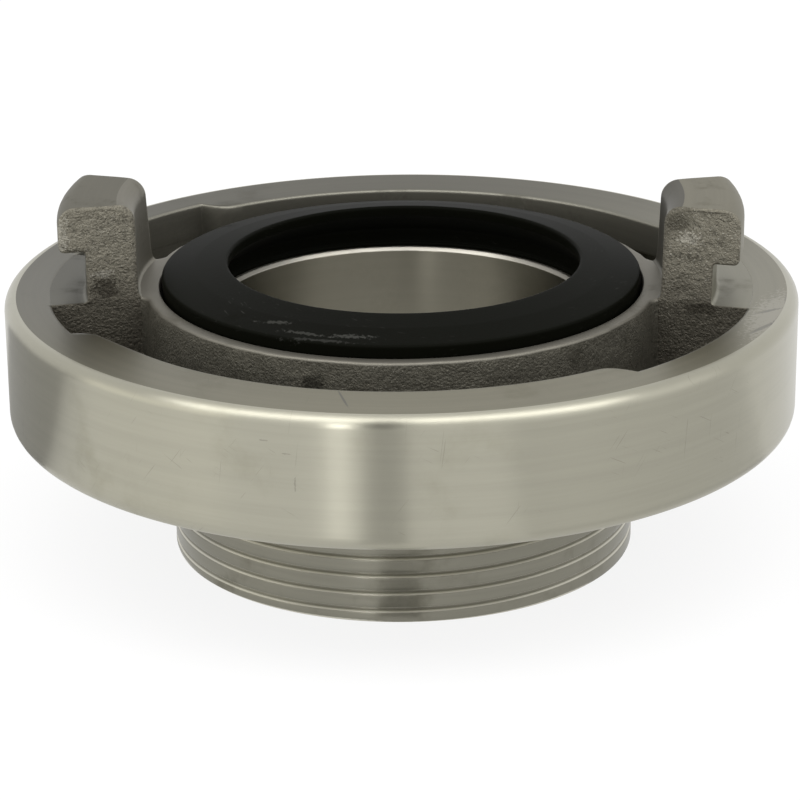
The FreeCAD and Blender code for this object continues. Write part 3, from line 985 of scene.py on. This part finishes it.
@dataclass
class BayonetHook:
    """One hook on its web: turned inside and outside, cast at its ends, with a nose that hooks outward."""

    name: str
    turn: float
    ring_top: float = 34.4
    rim_level: float = 34.7
    hook_top: float = 46.2
    inner_radius: float = 33.65
    shaft_radius: float = 40.1
    nose_radius: float = 43.4
    half_angle: float = 13.8
    end_draft: float = 10.2
    underside: float = 40.1
    underside_slope: float = 3.7
    outer_rounding: float = 4.0
    inner_rounding: float = 3.5
    nose_rounding: float = 0.7
    end_rounding: float = 0.3
    inner_end_rounding: float = 0.7
    ledge_rounding: float = 0.1
    buried_rounding: float = 0.02
    sunk: float = 0.04
    ledge_sunk: float = 0.006
    web_foot: float = 21.7
    web_outside: float = 45.0
    web_inside: float = 32.0
    sweep_steps: int = 26
    round_steps: int = 4
    end_steps: int = 16
    lump_height: float = 0.13

    def outer_corners(self, underside: float) -> list[Corner]:
        """The outward side of the section, from the web's foot up to the middle of the hook's top."""
        middle = (self.inner_radius + self.nose_radius) / 2
        ledge = self.ring_top - self.ledge_sunk
        shaft, turned = Finish.SHAFT, Finish.HOOK_TURNED
        return [
            Corner(self.web_outside, self.web_foot, edge_steps=8, finish=Finish.CAST),
            Corner(self.web_outside, ledge, edge_steps=6, finish=shaft),
            Corner(self.shaft_radius, ledge, 0.5, 3, 8, shaft),
            Corner(self.shaft_radius, underside, 0.3, 2, 4, shaft),
            Corner(self.nose_radius, underside, self.nose_rounding, 3, 3, turned),
            Corner(self.nose_radius, self.hook_top, self.outer_rounding, 8, 3, turned),
            Corner(middle, self.hook_top),
        ]

    def inner_corners(self) -> list[Corner]:
        """The inward side of the section, from the web's foot up to the middle of the hook's top."""
        middle = (self.inner_radius + self.nose_radius) / 2
        land = self.rim_level - self.sunk
        turned, inside = Finish.HOOK_TURNED, Finish.HOOK_INSIDE
        return [
            Corner(self.web_inside, self.web_foot, edge_steps=8, finish=Finish.CAST),
            Corner(self.web_inside, self.ring_top - 0.1, edge_steps=1, finish=Finish.RIM),
            Corner(self.web_inside + 0.4, land, edge_steps=5, finish=Finish.RIM),
            Corner(self.inner_radius, land, 0.6, 3, 20, inside),
            Corner(self.inner_radius, self.hook_top, self.inner_rounding, 8, 3, turned, inside),
            Corner(middle, self.hook_top),
        ]

    def section(self, side: float) -> tuple[np.ndarray, np.ndarray]:
        """Both sides of the section at a share of the way from the hook's middle to its end."""
        lateral = self.shaft_radius * math.sin(math.radians(self.half_angle)) * side
        underside = self.underside + lateral * math.tan(math.radians(self.underside_slope))
        return trace(self.outer_corners(underside), False), trace(self.inner_corners(), False)

    def outline(self, side: float) -> np.ndarray:
        """The closed outline of the section at a share of the way from the hook's middle to its end."""
        outer, inner = self.section(side)
        return np.concatenate([outer, inner[-2::-1]])

    def end_angle(self, section: np.ndarray) -> np.ndarray:
        """How far each point's end face lies from the hook's middle, in degrees."""
        rise = np.maximum(section[..., 1] - self.rim_level, 0.0)
        lean = rise * math.tan(math.radians(self.end_draft)) / section[..., 0]
        return self.half_angle - np.degrees(lean)

    def rounding_along(self, section: np.ndarray) -> np.ndarray:
        """The rounding between the section's outline and the end face, point by point."""
        radius, level = section[:, 0], section[:, 1]
        above = level > self.ring_top - 0.1
        share = np.clip((radius - self.inner_radius) / self.inner_rounding, 0.0, 1.0)
        reach = self.inner_end_rounding + (self.end_rounding - self.inner_end_rounding) * share
        growth = np.clip((level - self.rim_level) / 1.5, 0.0, 1.0)
        reach = self.ledge_rounding + (reach - self.ledge_rounding) * growth
        return np.where(above, reach, self.buried_rounding)

    @staticmethod
    def inward(section: np.ndarray) -> np.ndarray:
        """Unit steps from the points of a closed outline towards its inside."""
        ahead = np.roll(section, -1, axis=0) - section
        behind = section - np.roll(section, 1, axis=0)
        ahead = ahead / np.maximum(np.linalg.norm(ahead, axis=1, keepdims=True), 1e-9)
        behind = behind / np.maximum(np.linalg.norm(behind, axis=1, keepdims=True), 1e-9)
        along = ahead + behind
        along = along / np.maximum(np.linalg.norm(along, axis=1, keepdims=True), 1e-9)
        return np.stack([-along[:, 1], along[:, 0]], axis=1)

    def rows(self) -> list[tuple[np.ndarray, np.ndarray]]:
        """The loops of the swept hook from end to end: points of the section, and their angles."""
        found = []
        for step in range(-self.sweep_steps, self.sweep_steps + 1):
            side = step / self.sweep_steps
            loop = self.outline(side)
            rounding = self.rounding_along(loop)
            reach = self.end_angle(loop) - np.degrees(rounding / loop[:, 0])
            found.append((loop, side * reach))
        for side in (-1.0, 1.0):
            loop = self.outline(side)
            rounding = self.rounding_along(loop)
            inward = self.inward(loop)
            rounds = []
            for step in range(1, self.round_steps + 1):
                angle = math.pi / 2 * step / self.round_steps
                shifted = loop + inward * (rounding * (1 - math.cos(angle)))[:, None]
                back = np.degrees(rounding * (1 - math.sin(angle)) / loop[:, 0])
                rounds.append((shifted, side * (self.end_angle(shifted) - back)))
            found = rounds[::-1] + found if side < 0 else found + rounds
        return found

    def build(self, materials: dict[Finish, bpy.types.Material]) -> bpy.types.Object:
        """Build the hook.

        Args:
            materials: the material of each finish.

        Returns:
            The hook's object.
        """
        rows = self.rows()
        sections = np.array([loop for loop, _ in rows])
        angles = np.array([angle for _, angle in rows]) + self.turn
        points = turned_points(angles, sections)
        outer_steps = finishes_along(self.outer_corners(self.underside), False)
        inner_steps = finishes_along(self.inner_corners(), False)
        steps = outer_steps + inner_steps[::-1] + [Finish.CAST]
        shell = Shell()
        first = shell.add_grid(points, steps, wrap_rows=False, wrap_columns=True, end_rows=self.round_steps,
                               end_finish=Finish.HOOK_END)
        width = sections.shape[1]
        self.close_end(shell, points[0], first, -1.0)
        self.close_end(shell, points[-1], first + (len(rows) - 1) * width, 1.0)
        piece = shell.piece(self.name, materials, 34.0)
        return dress(piece, "coupling_body")

    def close_end(self, shell: Shell, loop: np.ndarray, first: int, side: float) -> None:
        """Fill an end face with rungs from the outward side to the inward side of its outline.

        Args:
            shell: the piece that takes the face.
            loop: the points of the end's outline.
            first: the number of the outline's first point.
            side: -1 or 1, the end that is closed.
        """
        half = (len(loop) + 1) // 2
        shares = np.linspace(0.0, 1.0, self.end_steps + 1)[1:-1]
        outer = loop[:half]
        inner = loop[::-1][:half - 1]
        inner = np.concatenate([inner, loop[half - 1:half]])
        grid = outer[:, None] + (inner - outer)[:, None] * shares[None, :, None]
        flat = grid.reshape(-1, 3)
        push = self.lump_height * (lumps(flat, 1.1, 21.0 + side) + 1.3 * lumps(flat, 3.2, 2.0 + side))
        edge = np.minimum(shares, 1 - shares) * 4
        push = push * np.tile(np.clip(edge, 0, 1), half)
        turn = math.radians(self.turn + side * self.half_angle)
        flat = flat + np.array((-math.sin(turn), math.cos(turn), 0.0)) * (push * side)[:, None]
        start = shell.add_points(flat)
        across = len(shares)

        def number(row: int, column: int) -> int:
            """The number of a point of the end face, its outline included."""
            if row == half - 1:
                return first + half - 1
            if column == 0:
                return first + row
            if column == across + 1:
                return first + len(loop) - 1 - row
            return start + row * across + column - 1

        for row in range(half - 1):
            for column in range(across + 1):
                face = (number(row, column), number(row, column + 1),
                        number(row + 1, column + 1), number(row + 1, column))
                face = tuple(dict.fromkeys(face))
                if len(face) > 2:
                    shell.faces.append(face)
                    shell.finishes.append(Finish.HOOK_END.value)


@dataclass
class ThreadTurns:
    """The turns of the two inch pipe thread around the stub."""

    major_radius: float = 29.8
    pitch: float = 2.309
    length: float = 17.7
    core_radius: float = 28.2
    lead: float = 0.1
    land_end_turn: float = 272.5
    land_end_level: float = 1.25
    groove_depth: float = 0.45
    lower_flank: float = 0.56
    upper_flank: float = 0.14
    column_count: int = 180

    def ridge(self, phase: np.ndarray) -> np.ndarray:
        """The depth of the groove below the lands at a phase between 0 and 1, with rounded corners."""
        samples = np.linspace(0.0, 1.0, 720, endpoint=False)
        place = samples * self.pitch
        falling = place / self.lower_flank
        rising = (self.lower_flank + self.upper_flank - place) / self.upper_flank
        wave = np.clip(np.minimum(falling, rising), 0.0, 1.0) * self.groove_depth
        spread = np.exp(-0.5 * (np.minimum(samples, 1 - samples) / 0.016) ** 2)
        wave = np.real(np.fft.ifft(np.fft.fft(wave) * np.fft.fft(spread / spread.sum())))
        return np.interp(np.mod(phase, 1.0), np.append(samples, 1.0), np.append(wave, wave[0]))

    def build(self, materials: dict[Finish, bpy.types.Material]) -> bpy.types.Object:
        """Build the thread as a sleeve.

        Args:
            materials: the material of each finish.

        Returns:
            The sleeve's object.
        """
        phases = np.array([0.0, 0.02, 0.04, 0.07, 0.11, 0.16, 0.2, 0.225, 0.25, 0.275, 0.3, 0.34, 0.5, 0.66,
                           0.82, 0.94, 0.98])
        turns = int(math.ceil(self.length / self.pitch)) + 1
        steps = np.concatenate([phases + turn for turn in range(-2, turns)])
        steps = np.append(steps, turns)
        angles = np.linspace(0.0, 360.0, self.column_count + 1)
        rise = (angles - self.land_end_turn) / 360.0 * self.pitch + self.land_end_level
        heights = steps[None, :] * self.pitch + rise[:, None]
        levels = np.clip(heights, 0.0, self.length)
        radii = self.major_radius - self.ridge(np.broadcast_to(steps, heights.shape))
        lead_in = self.major_radius - self.lead + levels
        radii = np.minimum(radii, lead_in)
        outside = np.stack([radii, levels], axis=-1)
        inner_low = np.broadcast_to(np.array((self.core_radius, 0.0)), (len(angles), 1, 2))
        inner_high = np.broadcast_to(np.array((self.core_radius, self.length)), (len(angles), 1, 2))
        sections = np.concatenate([inner_low, outside, inner_high], axis=1)
        points = turned_points(angles, sections)
        shell = Shell()
        shell.add_grid(points, [Finish.THREAD] * sections.shape[1], wrap_rows=False, wrap_columns=True)
        piece = shell.piece("thread_turns", materials, 60.0)
        return dress(piece, "coupling_body")


@dataclass
class SealRing:
    """The rubber seal: a sloping lip over an undercut, and a heel in the collar's groove."""

    inner_radius: float = 22.4
    outer_radius: float = 30.5
    inner_level: float = 37.7
    outer_level: float = 36.1
    lip_height: float = 1.4
    edge: float = 0.35
    foot_radius: float = 25.0
    foot_lip: float = 24.7
    floor: float = 31.4
    heel_radius: float = 31.25
    heel_top: float = 32.9
    off_centre: float = 0.35
    swell: float = 0.12

    def corners(self, inner_radius: float) -> list[Corner]:
        """The corners of one section, from the floor out and over the top to the inside."""
        rubber = Finish.RUBBER
        middle = (inner_radius + self.outer_radius) / 2
        middle_level = (self.inner_level + self.outer_level) / 2 + self.swell
        return [
            Corner(self.foot_lip, self.floor, edge_steps=2, finish=rubber),
            Corner(self.heel_radius, self.floor, edge_steps=2, finish=rubber),
            Corner(self.heel_radius, self.heel_top, edge_steps=1, finish=rubber),
            Corner(self.outer_radius, self.heel_top, edge_steps=4, finish=rubber),
            Corner(self.outer_radius, self.outer_level, self.edge, 4, 5, rubber),
            Corner(middle, middle_level, 6.0, 4, 5, rubber),
            Corner(inner_radius, self.inner_level, self.edge, 4, 3, rubber),
            Corner(inner_radius + 0.05, self.inner_level - self.lip_height, 0.3, 3, 4, rubber),
            Corner(self.foot_radius, self.inner_level - self.lip_height - 2.6, 0.8, 3, 2, rubber),
            Corner(self.foot_radius, self.floor + 0.6, 0.1, 2, 1, rubber),
            Corner(self.foot_lip, self.floor + 0.45, 0.1, 2, 1, rubber),
        ]

    def build(self, materials: dict[Finish, bpy.types.Material]) -> bpy.types.Object:
        """Build the seal.

        Args:
            materials: the material of each finish.

        Returns:
            The seal's object.
        """
        angles = np.arange(0.0, 360.0, 1.5)
        circle = np.radians(angles)
        inner = self.inner_radius + self.off_centre * np.cos(circle)
        sections = np.array([trace(self.corners(radius)) for radius in inner])
        steps = finishes_along(self.corners(self.inner_radius))
        shell = Shell()
        shell.add_grid(turned_points(angles, sections), steps, wrap_rows=True, wrap_columns=True)
        piece = shell.piece("seal_lip_and_heel", materials, 40.0)
        return dress(piece, "seal_ring")


@dataclass
class Studio:
    """The pale floor, the soft lamps and the camera."""

    camera_place: tuple[float, float, float] = (16.6906, -382.2778, 158.361)
    camera_right: tuple[float, float, float] = (0.999112, 0.04102, -0.00931)
    camera_up: tuple[float, float, float] = (-0.005375, 0.344113, 0.93891)
    lens: float = 141.417
    sensor: float = 36.0
    floor_size: float = 6.0
    floor_colour: tuple[float, float, float] = (0.80, 0.80, 0.80)
    white_share: float = 0.86
    world_strength: float = 0.95
    aim_level: float = 0.03
    card_steps: int = 12
    card_lift: float = 0.0002
    dark_grey: float = 0.03

    def place_camera(self) -> None:
        """Set the camera where the photograph was taken from."""
        data = bpy.data.cameras.new("camera")
        data.lens, data.sensor_width = self.lens, self.sensor
        data.clip_start, data.clip_end = 0.01, 50.0
        camera = bpy.data.objects.new("camera", data)
        bpy.context.scene.collection.objects.link(camera)
        right, up = Vector(self.camera_right), Vector(self.camera_up)
        back = right.cross(up)
        turn = Matrix((right, up, back)).transposed()
        camera.matrix_world = Matrix.Translation(Vector(self.camera_place) * MM) @ turn.to_4x4()
        bpy.context.scene.camera = camera

    def seen_directly(self, tree: Tree) -> bpy.types.NodeSocket:
        """1 for what the camera sees itself, in metal or through glass, and 0 for light on things."""
        rays = tree.add("ShaderNodeLightPath").outputs
        both = tree.math("MAXIMUM", rays["Is Camera Ray"], rays["Is Glossy Ray"])
        return tree.math("MAXIMUM", both, rays["Is Transmission Ray"])

    def lay_floor(self) -> None:
        """Lay a wide pale floor under the stub's end face, white to the eye except for the shadow."""
        half = self.floor_size / 2
        mesh = bpy.data.meshes.new("floor")
        corners = [(-half, -half, 0), (half, -half, 0), (half, half, 0), (-half, half, 0)]
        mesh.from_pydata(corners, [], [(0, 1, 2, 3)])
        material = bpy.data.materials.new("pale_floor")
        material.use_nodes = True
        tree = Tree(material.node_tree)
        matte = tree.add("ShaderNodeBsdfDiffuse", {"Color": (*self.floor_colour, 1.0)})
        white = tree.add("ShaderNodeEmission", {"Color": WHITE, "Strength": 1.0})
        share = tree.math("MULTIPLY", self.seen_directly(tree), self.white_share)
        mixed = tree.add("ShaderNodeMixShader", {0: share, 1: matte.outputs[0], 2: white.outputs[0]})
        tree.add("ShaderNodeOutputMaterial", {"Surface": mixed.outputs[0]})
        mesh.materials.append(material)
        floor = bpy.data.objects.new("floor", mesh)
        floor.location.z = -0.00002
        bpy.context.scene.collection.objects.link(floor)

    def light_world(self) -> None:
        """Surround the scene with even light, white where it is seen directly."""
        world = bpy.data.worlds.new("studio")
        bpy.context.scene.world = world
        world.use_nodes = True
        tree = Tree(world.node_tree)
        strength = tree.ramp(self.seen_directly(tree), 0.0, 1.0, self.world_strength, 1.0)
        light = tree.add("ShaderNodeBackground", {"Color": WHITE, "Strength": strength})
        tree.add("ShaderNodeOutputWorld", {"Surface": light.outputs[0]})

    def hang_lamp(
        self, name: str, azimuth: float, height: float, distance: float, size: tuple[float, float],
        power: float, colour: tuple[float, float, float] = (1.0, 1.0, 1.0),
    ) -> None:
        """Hang a soft box that faces the coupling.

        Args:
            name: the lamp's name.
            azimuth: degrees about the axis from the X axis.
            height: metres above the floor.
            distance: metres from the axis.
            size: width and height in metres.
            power: watts.
            colour: the light's colour.
        """
        data = bpy.data.lights.new(name, "AREA")
        data.shape = "RECTANGLE"
        data.size, data.size_y = size
        data.energy = power
        data.color = colour
        lamp = bpy.data.objects.new(name, data)
        turn = math.radians(azimuth)
        place = Vector((distance * math.cos(turn), distance * math.sin(turn), height))
        lamp.location = place
        aim = Vector((0.0, 0.0, self.aim_level)) - place
        lamp.rotation_mode = "QUATERNION"
        lamp.rotation_quaternion = aim.to_track_quat("-Z", "Y")
        lamp.visible_camera = False
        bpy.context.scene.collection.objects.link(lamp)

    def hang_card(
        self, name: str, azimuth: float, height: float, distance: float, size: tuple[float, float],
    ) -> None:
        """Hang a dark card, which only the metal's reflections see.

        Args:
            name: the card's name.
            azimuth: degrees about the axis from the X axis.
            height: metres above the floor.
            distance: metres from the axis.
            size: width and height in metres.
        """
        mesh = bpy.data.meshes.new(name)
        across, up = size[0] / 2, size[1] / 2
        corners = [(-across, -up, 0), (across, -up, 0), (across, up, 0), (-across, up, 0)]
        mesh.from_pydata(corners, [], [(0, 1, 2, 3)])
        card = self.stage_card(name, mesh, self.dark_grey)
        turn = math.radians(azimuth)
        place = Vector((distance * math.cos(turn), distance * math.sin(turn), height))
        card.location = place
        card.rotation_mode = "QUATERNION"
        aim = Vector((0.0, 0.0, self.aim_level)) - place
        card.rotation_quaternion = aim.to_track_quat("-Z", "Y")

    @staticmethod
    def stage_card(name: str, mesh: bpy.types.Mesh, grey: float) -> bpy.types.Object:
        """Make a card of a mesh: matte, grey, and hidden from the camera and from matte surfaces.

        Args:
            name: the card's name.
            mesh: its shape.
            grey: how light it is.

        Returns:
            The card, linked to the scene.
        """
        material = bpy.data.materials.new(name)
        material.use_nodes = True
        tree = Tree(material.node_tree)
        matte = tree.add("ShaderNodeBsdfDiffuse", {"Color": (grey, grey, grey, 1.0)})
        tree.add("ShaderNodeOutputMaterial", {"Surface": matte.outputs[0]})
        mesh.materials.append(material)
        card = bpy.data.objects.new(name, mesh)
        card.visible_camera = False
        card.visible_shadow = False
        card.visible_diffuse = False
        bpy.context.scene.collection.objects.link(card)
        return card

    def lay_card(
        self, name: str, azimuths: tuple[float, float], reach: tuple[float, float], grey: float,
    ) -> None:
        """Lay a grey card on the floor, which only the metal's reflections see.

        Args:
            name: the card's name.
            azimuths: degrees about the axis from the X axis, where it begins and ends.
            reach: metres from the axis to its near and its far end.
            grey: how light it is.
        """
        steps = np.radians(np.linspace(*azimuths, self.card_steps + 1))
        points = [(far * math.cos(turn), far * math.sin(turn), 0.0) for far in reach for turn in steps]
        far_row = self.card_steps + 1
        faces = [(step, far_row + step, far_row + step + 1, step + 1) for step in range(self.card_steps)]
        mesh = bpy.data.meshes.new(name)
        mesh.from_pydata(points, [], faces)
        self.stage_card(name, mesh, grey).location.z = self.card_lift

    def build(self) -> None:
        """Set up floor, light and camera."""
        bpy.context.scene.view_settings.view_transform = "Standard"
        self.lay_floor()
        self.light_world()
        warm = (1.0, 0.97, 0.84)
        self.hang_lamp("left_box", -160.0, 0.16, 0.9, (0.8, 0.5), 0.8, warm)
        self.hang_lamp("stripe_box", -104.5, 0.27, 1.0, (0.09, 0.52), 0.9)
        self.hang_lamp("right_box", -5.0, 0.45, 0.9, (0.6, 0.6), 0.4)
        self.hang_lamp("top_box", -90.0, 1.3, 0.45, (3.0, 0.8), 25.0)
        self.hang_card("dark_card_front", -93.5, 0.4, 0.6, (0.12, 0.9))
        self.lay_card("card_by_thread", (-94.0, -83.5), (0.031, 0.06), 0.72)
        self.lay_card("card_front", (-95.4, -86.6), (0.06, 0.7), 0.42)
        self.lay_card("card_right", (-64.0, 5.8), (0.06, 0.7), 0.48)
        self.lay_card("card_left", (140.0, 182.0), (0.06, 0.7), 0.25)
        self.place_camera()


def main() -> None:
    """Build the coupling and its studio."""
    logging.basicConfig(level=logging.INFO, format="%(name)s: %(message)s")
    materials = FinishRack().materials
    pieces = [
        RingCasting().build(materials),
        BayonetHook("hook_right", 0.0).build(materials),
        BayonetHook("hook_left", 180.0).build(materials),
        ThreadTurns().build(materials),
        SealRing().build(materials),
    ]
    Studio().build()


if __name__ == "__main__":
    main()
